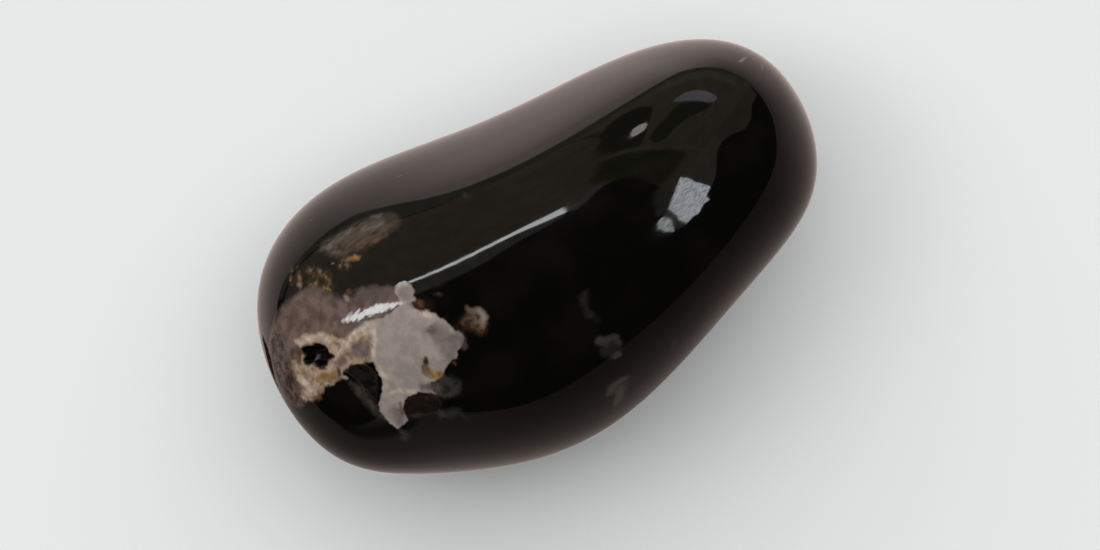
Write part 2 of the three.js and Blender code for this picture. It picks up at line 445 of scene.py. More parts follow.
marks["dull"] = outline(
    (-15.05, 113.5), (-14.7, 110.3), (-14.2, 109), (-13.9, 108.4), (-13.5, 107.6), (-13.3, 108.8),
    (-13.2, 110.4), (-12.75, 111), (-12.3, 112.2), (-12.6, 115.1), (-13.05, 119), (-13.6, 118.8),
    (-14.3, 118.5), (-14.8, 118.4), (-15.25, 118.5),
)
marks["burnt"] = either(
    stroke((-10.2, 78.4, 0.36), (-9.7, 80.4, 0.4)),
    stroke((-8.3, 89.3, 0.35), (-7.7, 90.7, 0.85), (-7.4, 92.4, 0.7)),
    marks["dull"],
    stroke((-9.3, 85.7, 0.14), (-9.2, 89.5, 0.2), (-8.85, 91.8, 0.16)),
    stroke((-16.6, 41.4, 0.5), (-17, 47, 0.5)),
    stroke((-15.9, 48, 0.4), (-15.3, 54, 0.6), (-15.6, 58, 0.4)),
)
marks["olive"] = stroke((-11.85, 96.5, 0.2), (-12, 97.5, 0.26))
marks["hole_edge"] = hole + 0.08
marks["open"] = either(slit, hole, bean)
marks["slit_floor"] = slit - 0.06

# %% [markdown]
# The rest of the stone is plain, but never empty. A few ghost spots show faintly through the
# black on the long flank, and some more of them, with a small pale scrap, are put on the side and
# underside that lie away from the light.

# %% Ghost spots
marks["ghosts"] = either(
    outline((-0.6, 117.9), (-0.2, 117.3), (0.2, 119), (0.75, 119.8), (1.05, 122), (1, 125), (0.65, 130),
            (0.2, 130), (-0.2, 127.6), (-0.65, 124.4), (-0.6, 121.4)),
    stroke((0.6, 100.2, 0.16), (0.15, 102, 0.22), (-0.1, 105.3, 0.16), (0.3, 111, 0.18)),
    outline((-1.65, 145), (-1.5, 141.4), (-0.95, 138.6), (-0.35, 139.6), (0.45, 142), (0.15, 147),
            (-0.6, 154), (-1.6, 157), (-1.2, 151.6), (-0.85, 148)),
    stroke((4.2, 147, 0.12), (4.7, 144.4, 0.26)),
    stroke((3.4, 203, 0.5), (4.6, 209, 0.7), (6, 207, 0.3)),
    stroke((-9, 188, 0.25), (-8, 192, 0.45), (-7.4, 199, 0.25)),
    stroke((12, 236, 0.4), (13.6, 229, 0.6)),
    stroke((-13, -62, 0.6), (-11, -70, 0.9), (-9.4, -64, 0.4)),
    stroke((8, -38, 0.3), (9.6, -34, 0.5), (10.4, -27, 0.2)),
    stroke((-2, -18, 0.2), (-1, -13, 0.36)),
)
marks["ghost_pale"] = strokes(
    [(-0.45, 118.8, 0.16), (-0.05, 119.2, 0.24), (-0.1, 121.4, 0.18)],
    [(0.45, 120.4, 0.18), (0.85, 121.6, 0.24), (0.87, 124.2, 0.14)],
    [(0.5, 129, 0.16), (0.05, 128.4, 0.18)],
    [(-1.35, 143.6, 0.34), (-1, 141, 0.4), (-0.4, 141, 0.28), (0.35, 142, 0.1)],
    [(-0.4, 145.2, 0.34), (-0.8, 148.4, 0.38), (-1.3, 153, 0.2)],
)
marks["specks"] = strokes(
    [(-12.2, 25.8, 0), (-11.75, 23.7, 0.02)],
    [(-14, 24.5, 0.06)],
    [(-6.9, 29, 0.05), (-6.5, 29.2, 0.05)],
    [(19.6, 50, 0.06), (20.3, 44, 0.1)],
    [(20.7, 60, 0.05), (21.0, 52, 0.06)],
    [(-10.6, -66, 0.2)],
    [(4.9, 208, 0.16)],
    [(-7.8, 194, 0.12)],
    [(14.4, -52, 0.1)],
)
print("marks:", ", ".join(f"{name} {(mark > 0).mean():.2%}" for name, mark in marks.items()))

# %% [markdown]
# ## The stone's mesh
# The grid is closed with a fan of triangles at each tip and joined to itself around the back. The
# pits are pressed in along the way out, and the skin is cut flat where it would pass through the
# table, which is the worn face that the stone lies on. Each mark goes along as an attribute.

# %% Place the points in the CAD box
pressed_points = points - outward * depth[:, None]
pressed_points[:, 2] = np.maximum(pressed_points[:, 2], 0)
low, high = pressed_points.min(axis=0), pressed_points.max(axis=0)
placed = box_low + (pressed_points - low) * (box_high - box_low) / (high - low)
print("moved by at most, in mm:", np.abs(placed - pressed_points).max().round(3))

# %% Faces and a flat map of them
ring, column = np.meshgrid(np.arange(RINGS - 1), np.arange(COLUMNS), indexing="ij")
here = 1 + ring * COLUMNS + column
beside = 1 + ring * COLUMNS + (column + 1) % COLUMNS
quads = np.stack([here, beside, beside + COLUMNS, here + COLUMNS], axis=-1).reshape(-1, 4)
turn = np.arange(COLUMNS)
first, second = 1 + turn, 1 + (turn + 1) % COLUMNS
last_ring = (RINGS - 1) * COLUMNS
broad_fan = np.stack([0 * turn, second, first], axis=-1)
narrow_fan = np.stack([first + last_ring, second + last_ring, 0 * turn + len(points) - 1], axis=-1)

across = np.stack([column, column + 1, column + 1, column], axis=-1).reshape(-1)
lengthwise = np.stack([ring + 1, ring + 1, ring + 2, ring + 2], axis=-1).reshape(-1)
fan_across = np.stack([turn + 0.5, turn + 1, turn], axis=-1).reshape(-1)
end_across = np.stack([turn, turn + 1, turn + 0.5], axis=-1).reshape(-1)
fan_lengthwise = np.tile([0, 1, 1], COLUMNS)
end_lengthwise = np.tile([RINGS, RINGS, RINGS + 1], COLUMNS)
flat_map = np.stack([
    np.concatenate([across, fan_across, end_across]) / COLUMNS,
    np.concatenate([lengthwise, fan_lengthwise, end_lengthwise]) / (RINGS + 1),
], axis=-1)


# %% Make the mesh
def number_points(data, name, values):
    """Gives each point of a mesh a number, under a name that a shader can read."""
    layer = data.attributes.new(name, "FLOAT", "POINT")
    layer.data.foreach_set("value", np.ravel(values).astype(np.float32))


def in_scene(name, data):
    """A new object that is in the scene."""
    made = bpy.data.objects.new(name, data)
    bpy.context.scene.collection.objects.link(made)
    return made


FARTHEST = 3
mesh = bpy.data.meshes.new("polished_onyx_pebble")
mesh.from_pydata((placed * MM).tolist(), [], quads.tolist() + broad_fan.tolist() + narrow_fan.tolist())
mesh.uv_layers.new(name="OFBake").uv.foreach_set("vector", flat_map.astype(np.float32).ravel())
for name, mark in marks.items():
    number_points(mesh, name, np.clip(mark, -FARTHEST, FARTHEST))
mesh.shade_smooth()
mesh.validate()
pebble = in_scene("polished_onyx_pebble", mesh)
mesh.calc_loop_triangles()
print("triangles:", len(mesh.loop_triangles))

# %% [markdown]
# ## The finish: tools
# The whole stone wears one Principled shader. Layer after layer is laid over the black ground:
# each takes a mark's distance, shakes it with fine noise so that the edge crinkles, and covers
# what lies under it. A few helpers keep those steps short.


# %% Node helpers
def feed(socket, term):
    """Puts a number or a colour on a socket, or joins another node's output to it."""
    if isinstance(term, bpy.types.NodeSocket):
        socket.id_data.links.new(term, socket)
    else:
        socket.default_value = term


def node(into, kind, *terms, **named):
    """A new node in a tree. The terms go to its sockets in order, and each named one to the
    socket of its name."""
    made = into.nodes.new("ShaderNode" + kind)
    for socket, term in zip(made.inputs, terms):
        feed(socket, term)
    for name, term in named.items():
        feed(made.inputs[name], term)
    return made


def point_number(into, name):
    """The number that each point of the mesh has under a name."""
    made = node(into, "Attribute")
    made.attribute_name = name
    return made.outputs["Fac"]


def new_material(name):
    """A material and its node tree, which is still empty."""
    made = bpy.data.materials.new(name)
    made.use_nodes = True
    made.node_tree.nodes.clear()
    return made, made.node_tree


# %% Arithmetic, noise and colour in the finish
finish, tree = new_material("polished_onyx")
address = node(tree, "TexCoord").outputs["Object"]


def reckon(operation, *terms):
    """A Math node's output."""
    made = node(tree, "Math", *terms)
    made.operation = operation
    return made.outputs[0]


def times(first, second):
    """One output times another, or times a number."""
    return reckon("MULTIPLY", first, second)


def ramp(value, low_end, high_end, start=0.0, end=1.0):
    """A smooth S from start, at the low end of the value, to end, at its high end."""
    made = node(tree, "MapRange", value, low_end, high_end, start, end)
    made.interpolation_type = "SMOOTHSTEP"
    return made.outputs[0]


def grain(size, seed, detail=3.0, stretch=(1, 1, 1), turn=(0, 0, 0)):
    """Noise about 0.5 whose blobs are about size mm times the stretch, laid along axes that are
    turned by the given degrees, read from the stone's own coordinates."""
    place = (seed * 0.073, seed * 0.031, seed * 0.057)
    angles = [math.radians(angle) for angle in turn]
    scale = [size * MM * share for share in stretch]
    placing = node(tree, "Mapping", address, place, angles, scale)
    placing.vector_type = "TEXTURE"
    noise = node(tree, "TexNoise", placing.outputs["Vector"], Scale=1, Detail=detail)
    return noise.outputs["Fac"]


FACTOR, UNDER, OVER, MIXED = 0, 6, 7, 2


def cover(under, over, amount):
    """Lays one colour over another by an amount from 0 to 1."""
    made = node(tree, "Mix")
    made.data_type = "RGBA"
    for place, term in ((FACTOR, amount), (UNDER, under), (OVER, over)):
        feed(made.inputs[place], term)
    return made.outputs[MIXED]


def tint(red, green, blue):
    """A colour given as a screen shows it, from 0 to 255, as the shader's linear colour."""
    steps = np.array([red, green, blue]) / 255
    linear = np.where(steps < 0.04045, steps / 12.92, ((steps + 0.055) / 1.055) ** 2.4)
    return (*linear.tolist(), 1)


# %% Mask of a mark
coarse = reckon("SUBTRACT", grain(0.9, seed=1, detail=3), 0.5)
fine = reckon("SUBTRACT", grain(0.2, seed=2, detail=2), 0.5)
crinkle = reckon("ADD", coarse, times(fine, 0.35))


def mask(name, shake, softness):
    """1 inside a mark and 0 outside. The mark's distance plus shake mm of noise goes through a
    smooth S that is twice the softness wide."""
    moved = reckon("ADD", point_number(tree, name), times(crinkle, shake))
    return ramp(moved, -softness, softness)


def mottle(dark, light, size, seed, ends=(0.38, 0.62), **how):
    """Two colours that trade places in blobs of about size mm."""
    return cover(tint(*dark), tint(*light), ramp(grain(size, seed, **how), *ends))


# %% [markdown]
# ## The finish: colours
# Polished black onyx looks black because nearly all light goes in and none comes back, so its
# ground is far darker than black paint, with a breath of brown cloud in it. The marks are the
# same stone with air, clay and iron in it, which is why their edges stay soft in places.

# %% Laying one mark over another
WITHIN = {"veil_shade": "veil", "dimmed": "patch"}
covers = {}


def laid(under, *rows):
    """The colour under, with one layer for each row on top of it. A row names a mark and gives
    its colour, the shake and the softness of its edge, and the share of it that shows. A mark
    that is named in WITHIN shows only inside the other one."""
    for name, over, shake, softness, share in rows:
        covers[name] = mask(name, shake, softness)
        if name in WITHIN:
            covers[name] = times(covers[WITHIN[name]], covers[name])
        over = tint(*over) if isinstance(over, tuple) else over
        under = cover(under, over, times(covers[name], share))
    return under


# %% Layers of haze, veil and streaks
ground_black = mottle((5, 5, 4), (12, 10, 9), 5.0, seed=3, ends=(0.45, 0.7))
streak_way = {"stretch": (9, 1, 1), "turn": (0, 0, -4), "detail": 2, "ends": (0.3, 0.7)}
colour = laid(
    ground_black,
    ("ghosts", (40, 37, 34), 0.9, 0.3, 0.8),
    ("ghost_pale", (66, 60, 54), 0.8, 0.26, 0.85),
    ("veil", mottle((77, 61, 55), (106, 89, 82), 0.9, seed=4, detail=5, ends=(0.34, 0.66)),
     0.7, 0.35, 1),
    ("veil_shade", (80, 69, 64), 1.2, 0.5, 0.85),
    ("worn", mottle((44, 35, 29), (100, 81, 71), 0.44, seed=24, detail=5, ends=(0.34, 0.66)),
     0.8, 0.3, 0.9),
    ("worn_olive", (88, 69, 46), 0.8, 0.25, 1),
    ("worn_dark", (28, 21, 16), 0.7, 0.2, 0.9),
    ("burnt", mottle((20, 13, 9), (32, 20, 14), 0.8, seed=28), 1.0, 0.36, 0.85),
    ("streaked", mottle((40, 34, 29), (78, 67, 60), 0.34, seed=5, **streak_way), 0.6, 0.45, 0.9),
    ("streak_pale", mottle((70, 60, 54), (112, 98, 90), 0.3, seed=6, **streak_way), 0.4, 0.36, 1),
    ("streak_red", mottle((58, 40, 32), (98, 71, 58), 0.4, seed=7, **streak_way), 0.6, 0.34, 1),
    ("streak_brown", (54, 46, 36), 1.0, 0.4, 0.9),
    ("haze", mottle((48, 42, 38), (68, 59, 52), 0.8, seed=8), 0.8, 0.32, 0.92),
    ("faint_haze", mottle((36, 34, 33), (54, 52, 49), 0.8, seed=9), 0.6, 0.26, 0.9),
    ("haze_rim", (60, 57, 51), 0.5, 0.22, 0.9),
)

# %% Layers of cream and patch
colour = laid(
    colour,
    ("ground", mottle((118, 95, 78), (172, 148, 127), 0.6, seed=10, detail=5, ends=(0.32, 0.66)),
     0.6, 0.16, 1),
    ("patch", mottle((143, 131, 125), (158, 145, 138), 1.1, seed=11), 0.45, 0.1, 1),
    ("dimmed", mottle((106, 95, 91), (124, 112, 108), 1.0, seed=12), 1.0, 0.5, 0.9),
    ("shaded", mottle((96, 84, 82), (120, 102, 95), 0.8, seed=13), 0.8, 0.34, 1),
    ("cream", mottle((158, 141, 124), (196, 182, 166), 0.6, seed=14, ends=(0.35, 0.65)),
     0.6, 0.26, 0.92),
    ("faded", mottle((74, 66, 61), (96, 85, 78), 0.8, seed=25), 0.8, 0.36, 0.9),
)

# %% Layers of crumbs, knob, rust, gold and white
crumb_gaps = ramp(grain(0.4, seed=15, detail=4), 0.4, 0.56, 0.22, 0.95)
colour = laid(
    colour,
    ("crumbs", mottle((44, 33, 22), (110, 87, 66), 0.5, seed=16, detail=4, ends=(0.36, 0.66)),
     0.9, 0.26, crumb_gaps),
    ("ochre", mottle((50, 36, 24), (82, 62, 44), 0.5, seed=26), 0.7, 0.3, 1),
    ("knob", (94, 83, 72), 0.5, 0.22, 1),
    ("knob_pale", (130, 118, 109), 0.5, 0.24, 1),
    ("rust", mottle((52, 33, 23), (88, 56, 41), 0.6, seed=17, ends=(0.35, 0.65)),
     0.7, 0.24, 1),
    ("gold", mottle((110, 77, 44), (148, 113, 70), 0.6, seed=18, ends=(0.35, 0.65)),
     0.6, 0.2, 1),
    ("olive", (50, 38, 18), 0.3, 0.14, 1),
    # The white layer holds real white specks and two painted highlights, glints painted into the colour.
    ("white", (146, 135, 128), 0.3, 0.12, 1),
    ("specks", (104, 94, 86), 0.4, 0.08, 1),
    ("hole_edge", (62, 44, 32), 0.4, 0.12, 0.8),
    ("open", mottle((7, 6, 4), (26, 19, 13), 0.5, seed=19), 0.2, 0.1, 1),
    ("slit_floor", mottle((24, 16, 11), (58, 40, 29), 0.35, seed=29, detail=4), 0.2, 0.1, 1),
    # Painted highlight: the septum's pale colour stands in for a glint on the ridge in the hole.
    ("septum", (98, 94, 86), 0.1, 0.09, 1),
)

# %% [markdown]
# ## The finish: polish and relief
# Tumbling leaves a mirror on hard chalcedony and a slightly softer gloss on the paler rock, which
# also ends up a hair lower because it wears faster. The worn side of the tip is duller still, and
# the pits were never polished at all.

# %% Roughness and bump
polish = ramp(grain(3.0, seed=20), 0.3, 0.7, 0.035, 0.06)
polish = reckon("ADD", polish, times(covers["patch"], 0.05))
rough_hollow = reckon("MAXIMUM", covers["open"], mask("dull", 0.8, 0.2))
unpolished = reckon("MAXIMUM", rough_hollow, times(covers["worn"], 0.75))
polish = reckon("ADD", polish, times(unpolished, 0.45))

# The heights below are in mm.
waviness = times(grain(2.6, seed=21, detail=1), 0.0003)
patch_relief = times(times(grain(0.7, seed=22), covers["patch"]), 0.003)
patch_step = times(covers["patch"], -0.004)
veil_grain = grain(0.5, seed=27, stretch=(3, 1, 1), turn=(0, 0, 20))
veil_relief = times(times(veil_grain, covers["veil"]), 0.008)
pit_relief = times(times(grain(0.22, seed=23, detail=4), unpolished), 0.12)
soft_relief = reckon("ADD", waviness, reckon("ADD", patch_relief, veil_relief))
height = reckon("ADD", soft_relief, reckon("ADD", patch_step, pit_relief))
bump = node(tree, "Bump", Distance=MM, Height=height)

FULL_MIRROR = 0.5
mirror = reckon("SUBTRACT", FULL_MIRROR, times(unpolished, 0.38))
shader = node(tree, "BsdfPrincipled", IOR=1.54, Roughness=polish, Normal=bump.outputs["Normal"])
feed(shader.inputs["Base Color"], colour)
feed(shader.inputs["Specular IOR Level"], mirror)
node(tree, "OutputMaterial", shader.outputs["BSDF"])
mesh.materials.append(finish)

# %% Tie the stone to the frame
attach(pebble, "root")
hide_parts(NODE)
print("finish nodes:", len(tree.nodes))

# %% [markdown]
# ## The table
# A black mirror shows its surroundings more than itself, so the stage is part of the finish. The
# floor is plain and pale. What the stone mirrors of it is a second sheet, seen by reflections
# only, so that its brightness can be set by bearing: bright towards the light, dim on the far
# side, where the stone's own shadow falls.


# %% Stage tools
def stage_piece(name, corners, faces, material, mirrored=True):
    """A mesh of the stage. A mirrored one is seen by reflections only."""
    made = bpy.data.meshes.new(name)
    made.from_pydata(corners, [], faces)
    made.materials.append(material)
    piece = in_scene(name, made)
    piece.visible_glossy = mirrored
    for kind_of_ray in ("camera", "diffuse", "shadow", "transmission"):
        setattr(piece, f"visible_{kind_of_ray}", not mirrored)
    return piece


def sheet_faces(rows, columns):
    """Quads of a grid of points, row after row."""
    row, column = np.meshgrid(np.arange(rows), np.arange(columns), indexing="ij")
    start = (row * (columns + 1) + column).ravel()
    return np.stack([start, start + 1, start + columns + 2, start + columns + 1], axis=-1).tolist()


# %% Floor and mirrored sheet
FLOOR_HALF = 6.0
floor_corners = [(x * FLOOR_HALF, y * FLOOR_HALF, 0) for x, y in ((-1, -1), (1, -1), (1, 1), (-1, 1))]
pale_floor, floor_tree = new_material("pale_floor")
matt = node(floor_tree, "BsdfDiffuse", (0.81, 0.825, 0.82, 1))
node(floor_tree, "OutputMaterial", matt.outputs[0])
stage_piece("floor", floor_corners, [(0, 1, 2, 3)], pale_floor, mirrored=False)

# Brightness of the sheet by bearing in degrees, at five distances as multiples of the distance
# from the middle to the stone's edge.
STEPS_OUT = [1.5, 2.2, 3.3, 5, 10]
SHEET_GLOW = {
    -180: [0.24, 0.22, 0.2, 0.18, 0.15],
    -150: [0.36, 0.21, 0.14, 0.12, 0.1],
    -125: [0.24, 0.17, 0.12, 0.11, 0.1],
    -95: [0.15, 0.13, 0.11, 0.09, 0.08],
    -65: [0.15, 0.12, 0.11, 0.08, 0.07],
    -36: [0.23, 0.17, 0.12, 0.09, 0.08],
    -17: [0.43, 0.37, 0.28, 0.21, 0.16],
    6: [0.8, 0.56, 0.4, 0.31, 0.18],
    42: [0.78, 0.95, 0.9, 0.6, 0.32],
    60: [0.66, 1.02, 1.22, 1.05, 0.75],
    77: [0.58, 0.76, 0.96, 0.94, 0.65],
    100: [0.57, 0.6, 0.57, 0.55, 0.5],
    118: [0.6, 0.58, 0.52, 0.44, 0.32],
    136: [0.78, 0.82, 0.65, 0.5, 0.35],
    160: [0.62, 0.8, 0.66, 0.6, 0.5],
    180: [0.24, 0.22, 0.2, 0.18, 0.15],
}
STONE_EDGE = (0.021, 0.0125)
SHEET_BEARINGS = 121
turn_out = np.radians(np.linspace(-180, 180, SHEET_BEARINGS))[:, None]
steps_out = np.array([0, 1, 1.5, 2.2, 2.7, 3.3, 4, 5, 7, 10, 30])
edge = 1 / np.hypot(np.cos(turn_out) / STONE_EDGE[0], np.sin(turn_out) / STONE_EDGE[1])
way = np.stack([np.cos(turn_out), np.sin(turn_out), 0 * turn_out], axis=-1)
sheet_points = (way * (edge * steps_out)[..., None]).reshape(-1, 3)
rows_of_glow = np.array(list(SHEET_GLOW.values()))
by_bearing = [np.interp(np.degrees(turn_out[:, 0]), list(SHEET_GLOW), row) for row in rows_of_glow.T]
glow = [np.interp(steps_out, STEPS_OUT, at_bearing) for at_bearing in np.array(by_bearing).T]
# The sheet glows rather than being lit: its glow is painted light on the lamps' side and a painted shadow
# of the stone on the far side, as the polish mirrors them.
sheet_paint, sheet_tree = new_material("mirrored_sheet")
shining = node(sheet_tree, "Emission", (1.22, 1.0, 0.93, 1), point_number(sheet_tree, "glow"))
node(sheet_tree, "OutputMaterial", shining.outputs[0])
faces = sheet_faces(len(turn_out) - 1, len(steps_out) - 1)
sheet = stage_piece("mirrored_sheet", sheet_points.tolist(), faces, sheet_paint)
number_points(sheet.data, "glow", glow)
print("mirrored sheet glows from", np.min(glow).round(3), "to", np.max(glow).round(3))

# %% [markdown]
# ## What the polish mirrors
# Above the table is a dim room: a brown wall with a long thin strip light along its top, a window
# with a smaller pane beside it, and a dark doorway with one bright pane in it. Each is a glowing
# card close around the stone, seen by reflections only. Its corners are plain compass bearings
# and heights in degrees, seen from the middle of the stone.

# %% Cards on a ball around the stone
BALL_RADIUS = 0.060
BALL_MIDDLE = np.array([0, 0, 0.014])
LAYER_GAP = 0.0003
CELLS = 64
BLOTCH_ENDS = (0.4, 0.56)


def card_paint(name, glow, blotch, dimmest):
    """A card's glow. Blotches of noise, blotch mm in size, dim it down to the dimmest share, and
    the piece's own "cover" numbers, from 0 to 1, say how much of it is there at all."""
    made, paint_tree = new_material(name)
    place = node(paint_tree, "TexCoord").outputs["Object"]
    noise = node(paint_tree, "TexNoise", place, Scale=1 / (blotch * MM))
    dimming = node(paint_tree, "MapRange", noise.outputs["Fac"], *BLOTCH_ENDS, dimmest, 1.0)
    shining = node(paint_tree, "Emission", (*glow, 1), dimming.outputs["Result"]).outputs[0]
    clear = node(paint_tree, "BsdfTransparent").outputs[0]
    blend = node(paint_tree, "MixShader", point_number(paint_tree, "cover"), clear, shining)
    node(paint_tree, "OutputMaterial", blend.outputs[0])
    return made


def card(name, layer, glow, lower, upper, fade=(0, 0), blotch=6.0, dimmest=0.85):
    """A curved card. S(u, v) is v of the way from the point u along the lower line to the point u
    along the upper one, in degrees of bearing and height, set out on the ball. A higher layer
    lies nearer the stone. Fade is the share of its length and of its height over which the card
    dissolves at each edge: cover = distance to the edge / share, smoothed and at most 1."""
    u = np.linspace(0, 1, CELLS + 1)
    lines = [
        [np.interp(u, np.linspace(0, 1, len(line)), axis) for axis in zip(*line)]
        for line in (lower, upper)
    ]
    v = np.linspace(0, 1, CELLS + 1)[:, None]
    bearing, lift = (np.radians(lines[0][k] + (lines[1][k] - lines[0][k]) * v) for k in (0, 1))
    way = np.stack([np.cos(bearing) * np.cos(lift), np.sin(bearing) * np.cos(lift), np.sin(lift)], axis=-1)
    corners = BALL_MIDDLE + (BALL_RADIUS - layer * LAYER_GAP) * way.reshape(-1, 3)
    paint = card_paint(name, glow, blotch, dimmest)
    piece = stage_piece(name, corners.tolist(), sheet_faces(CELLS, CELLS), paint)
    there = np.ones((CELLS + 1, CELLS + 1))
    for share, along in zip(fade, (u, v)):
        if share:
            there = there * np.clip(np.minimum(along, 1 - along) / share, 0, 1)
    number_points(piece.data, "cover", there * there * (3 - 2 * there))


# %% Wall and skirting
ROOM_DARK = 0.012
card(
    "dark_backing", 0, [ROOM_DARK] * 3,
    [(165, -6), (148, -5.3), (138, -3.9), (128, -3.9), (120, -5), (111, -6), (103, -3), (94, 1),
     (83, 4.2), (75, 5.4), (71, 4.5), (65, 2.3), (55, -1.7), (45, -1.8), (34, -0.5), (14, 0), (1, 0.6),
     (-7, 1.3)],
    [(165, 40), (130, 60), (90, 60), (60, 60), (30, 60), (-7, 40)],
)
card(
    "skirting", 1, (0.16, 0.167, 0.135),
    [(148, -5.5), (138, -4.1), (128, -4.1), (120, -5.2), (111, -6.2), (107, -4.8), (100, -2), (94, 0.7),
     (88, 2.2), (83, 2.6), (75, 2.2), (71, 1.9), (65, 0.5), (55, -3.4), (45, -3.4), (34, -2),
     (18.5, -0.6)],
    [(148, -2.2), (138, -2), (128, -1.6), (120, 0.6), (111, 4.9), (107, 6.6), (100, 7.8), (94, 8.3),
     (88, 8.4), (83, 7), (75, 7), (71, 6.3), (65, 3.9), (55, 0.1), (45, 0), (34, 1.2), (18.5, 1.2)],
)
card(
    "brown_wall", 2, (0.262, 0.22, 0.162),
    [(165, -1.5), (148, -1), (138, -1.3), (128, -0.7), (120, 1.4), (111, 5.5), (107, 7.2), (100, 8.4),
     (94, 8.8), (88, 8.6), (83, 6.4), (77, 6.3), (73, 6.2), (71, 5.6), (69, 4.5), (65, 3.1), (61, 1),
     (55, -0.7), (45, -0.8), (34, 0.4), (23, 0.3), (18.5, 0.4)],
    [(165, 14), (158, 22), (151, 30), (144, 37), (137, 43), (128, 48), (120, 52), (112, 54), (102, 55),
     (92, 55.6), (82, 54), (74, 52), (65.5, 49), (59.4, 46.8), (56.2, 44.6), (55, 42), (55, 38.6),
     (51.5, 38.8), (43.5, 43), (34, 47.6), (26, 49.6), (18.5, 50.2)],
)
card(
    "wall_end", 2, (0.205, 0.174, 0.133),
    [(18.5, 0.4), (13.4, 1.5), (11.7, 7.5), (6.3, 11.9), (4.5, 16.5), (8.8, 23.9), (10.3, 28.6)],
    [(19.5, 0.4), (19.5, 5), (19.5, 10), (19.5, 14.5), (19.5, 19), (19.5, 24), (19.5, 28.6)],
    fade=(0, 0.06),
)
card(
    "wall_by_window", 2, (0.28, 0.24, 0.195),
    [(18.6, 28.6), (10.3, 28.6), (7.8, 31.6), (0.6, 33.4), (-5.8, 33.6), (-11.1, 35.2)],
    [(18.6, 50.2), (10.3, 49.6), (6, 48.5), (-2, 43.5), (-8, 39.5), (-11.5, 36.5)],
)
card(
    "low_glow", 3, (0.3, 0.29, 0.235),
    [(71, 5), (61, 0.9), (52, -0.8), (43, -0.7), (34, 0.4), (22, 0.4)],
    [(70, 9), (60, 6), (50, 5.5), (42, 6), (32, 6.6), (20, 7)], fade=(0.2, 0.4),
)

# %% Dark shape on the far side of the table
card("far_shadow", 1, (0.03, 0.03, 0.026),
     [(-170, -1.4), (-165, -2.4), (-161, -4.4), (-157, -6.4), (-152.5, -7.6), (-149.5, -6.4)],
     [(-170, 1), (-165, 1), (-160, 1), (-156, 1), (-153, 1), (-151, 1)], fade=(0.2, 0.45))

# %% Doorway
card("wall_line", 3, (0.08, 0.08, 0.06),
     [(70.9, 5.8), (69.9, 7.3), (68.7, 10), (66.1, 16.5), (63, 23.4), (60.6, 28.1)],
     [(70.1, 6.6), (69, 8), (67.7, 10.6), (65, 17), (62, 24), (59.8, 28.6)], fade=(0.1, 0.4))
card("doorway_left", 4, (0.066, 0.064, 0.047),
     [(68.1, 9.9), (67.8, 7.1), (66.5, 6.5), (64.3, 7.2), (60.3, 11.2), (59.4, 16.3), (58.5, 21.5),
      (57.1, 26.5)],
     [(68.1, 9.9), (66.5, 15.8), (65.6, 19.4), (64.1, 22.7), (62.3, 25.4), (60.5, 26.9), (58.5, 28.2),
      (55.5, 29.6)],
     fade=(0.08, 0.1))
card("doorway_right", 4, (0.075, 0.077, 0.053),
     [(55.5, 28), (55.9, 25), (55.6, 22.9), (53.9, 20.5), (53.2, 18.1), (50.7, 16.1), (41.9, 17.6),
      (31, 18.3)],
     [(52, 31.6), (50, 32.3), (47.6, 32.5), (46.9, 31), (46.3, 29.5), (42.4, 26.2), (36, 22.9), (31, 19)],
     fade=(0.06, 0.14))
card("low_wall", 3, (0.088, 0.088, 0.052),
     [(64.3, 23.5), (60.8, 26.9), (56.1, 30.6), (48, 34.8), (36.3, 37.3), (24, 37.8)],
     [(59.5, 32.5), (57, 36), (53, 39.4), (46.5, 43), (35, 48.2), (21, 50.8)], fade=(0.12, 0.12))
card("arc_line", 4, (0.3, 0.245, 0.175),
     [(64.3, 22.4), (60.8, 25.7), (56.1, 29.4), (48, 33.5), (36.3, 36), (20.5, 35.4), (10, 34)],
     [(64.3, 23.8), (60.8, 27.2), (56.1, 31), (48, 35.2), (36.3, 37.7), (20.5, 37.2), (10, 35.8)],
     fade=(0.15, 0.45))
card("door_pane", 5, (3.2, 2.95, 3.0),
     [(62, 20.3), (62.3, 18.4), (61.5, 18.2), (60, 18.8), (59, 20.3)],
     [(61.4, 21.8), (60.9, 22.5), (60, 22.7), (59.3, 22.6), (58.8, 22.4)])
card("arch", 5, (0.84, 0.84, 0.98),
     [(54, 14.4), (52.6, 12.9), (50.2, 11.5), (45.3, 11.3), (39.8, 12.3), (35.1, 13.6), (31, 15.1)],
     [(54, 14.4), (50.8, 15.8), (45.9, 17), (40.4, 17.8), (35.2, 18.5), (32, 17.5), (31, 15.1)],
     fade=(0.06, 0.08))

